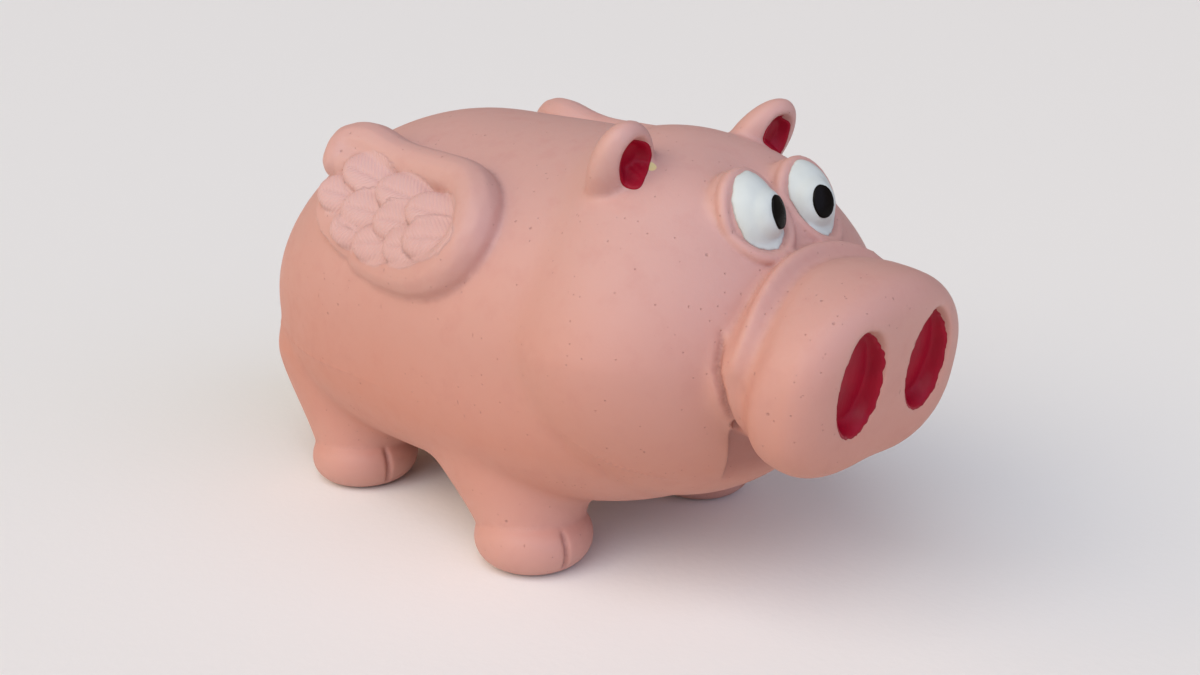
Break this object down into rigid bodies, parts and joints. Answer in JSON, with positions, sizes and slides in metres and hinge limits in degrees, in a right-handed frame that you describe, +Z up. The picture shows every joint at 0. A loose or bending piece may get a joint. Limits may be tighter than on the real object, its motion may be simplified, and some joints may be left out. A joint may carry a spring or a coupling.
{
  "type": "latex dog toy",
  "caption": "Stuffed latex squeaky toy for dogs: a winged pig on stubby legs, hollow skin over fibre stuffing, with a concertina squeaker and whistle in a belly plug.",
  "frame": {"origin": "on the ground under the middle of the toy's box", "axes": "+X towards the snout, +Y towards the pig's left, +Z up"},
  "size_m": [0.178, 0.0968, 0.097],
  "materials": {
    "pink_latex": "matte moulded latex",
    "white_latex": "satin coloured latex coat",
    "black_latex": "glossy coloured latex coat",
    "crimson_latex": "satin coloured latex coat",
    "fibre": "matte polyester fibre",
    "milky_plastic": "milky moulded plastic",
    "soft_plastic": "thin blown plastic",
    "reed_plastic": "clear film, drawn opaque"
  },
  "bodies": {
    "toy": {"torso_skin": "pink_latex", "head_skin": "pink_latex", "snout_skin": "pink_latex", "tail_skin": "pink_latex", "right_ear_skin": "pink_latex", "left_ear_skin": "pink_latex", "right_wing_skin": "pink_latex", "left_wing_skin": "pink_latex", "right_front_leg_skin": "pink_latex", "left_front_leg_skin": "pink_latex", "right_rear_leg_skin": "pink_latex", "left_rear_leg_skin": "pink_latex", "belly_plug": "pink_latex", "torso_stuffing": "fibre", "head_stuffing": "fibre", "right_front_leg_stuffing": "fibre", "left_front_leg_stuffing": "fibre", "right_rear_leg_stuffing": "fibre", "left_rear_leg_stuffing": "fibre", "right_eye_white": "white_latex", "left_eye_white": "white_latex", "right_pupil": "black_latex", "left_pupil": "black_latex", "right_nostril_paint": "crimson_latex", "left_nostril_paint": "crimson_latex", "right_ear_paint": "crimson_latex", "left_ear_paint": "crimson_latex", "squeaker_base": "milky_plastic", "squeaker_bellows": "soft_plastic", "whistle_barrel": "milky_plastic", "whistle_clip": "milky_plastic"},
    "crown": {"squeaker_crown": "milky_plastic"},
    "reed": {"whistle_reed": "reed_plastic"}
  },
  "joints": [
    {"name": "squeaker_squeeze", "type": "slide", "parent": "toy", "child": "crown", "axis": [0, 0, -1], "range_m": [0, 0.008], "stiffness_N_per_m": 400, "deforming": ["squeaker_bellows"]},
    {"name": "reed_flutter", "type": "hinge", "parent": "toy", "child": "reed", "pos_m": [-0.02936, 0, 0.02255], "axis": [0, -1, 0], "range_deg": [-3, 6], "stiffness_Nm_per_rad": 0.00003}
  ]
}
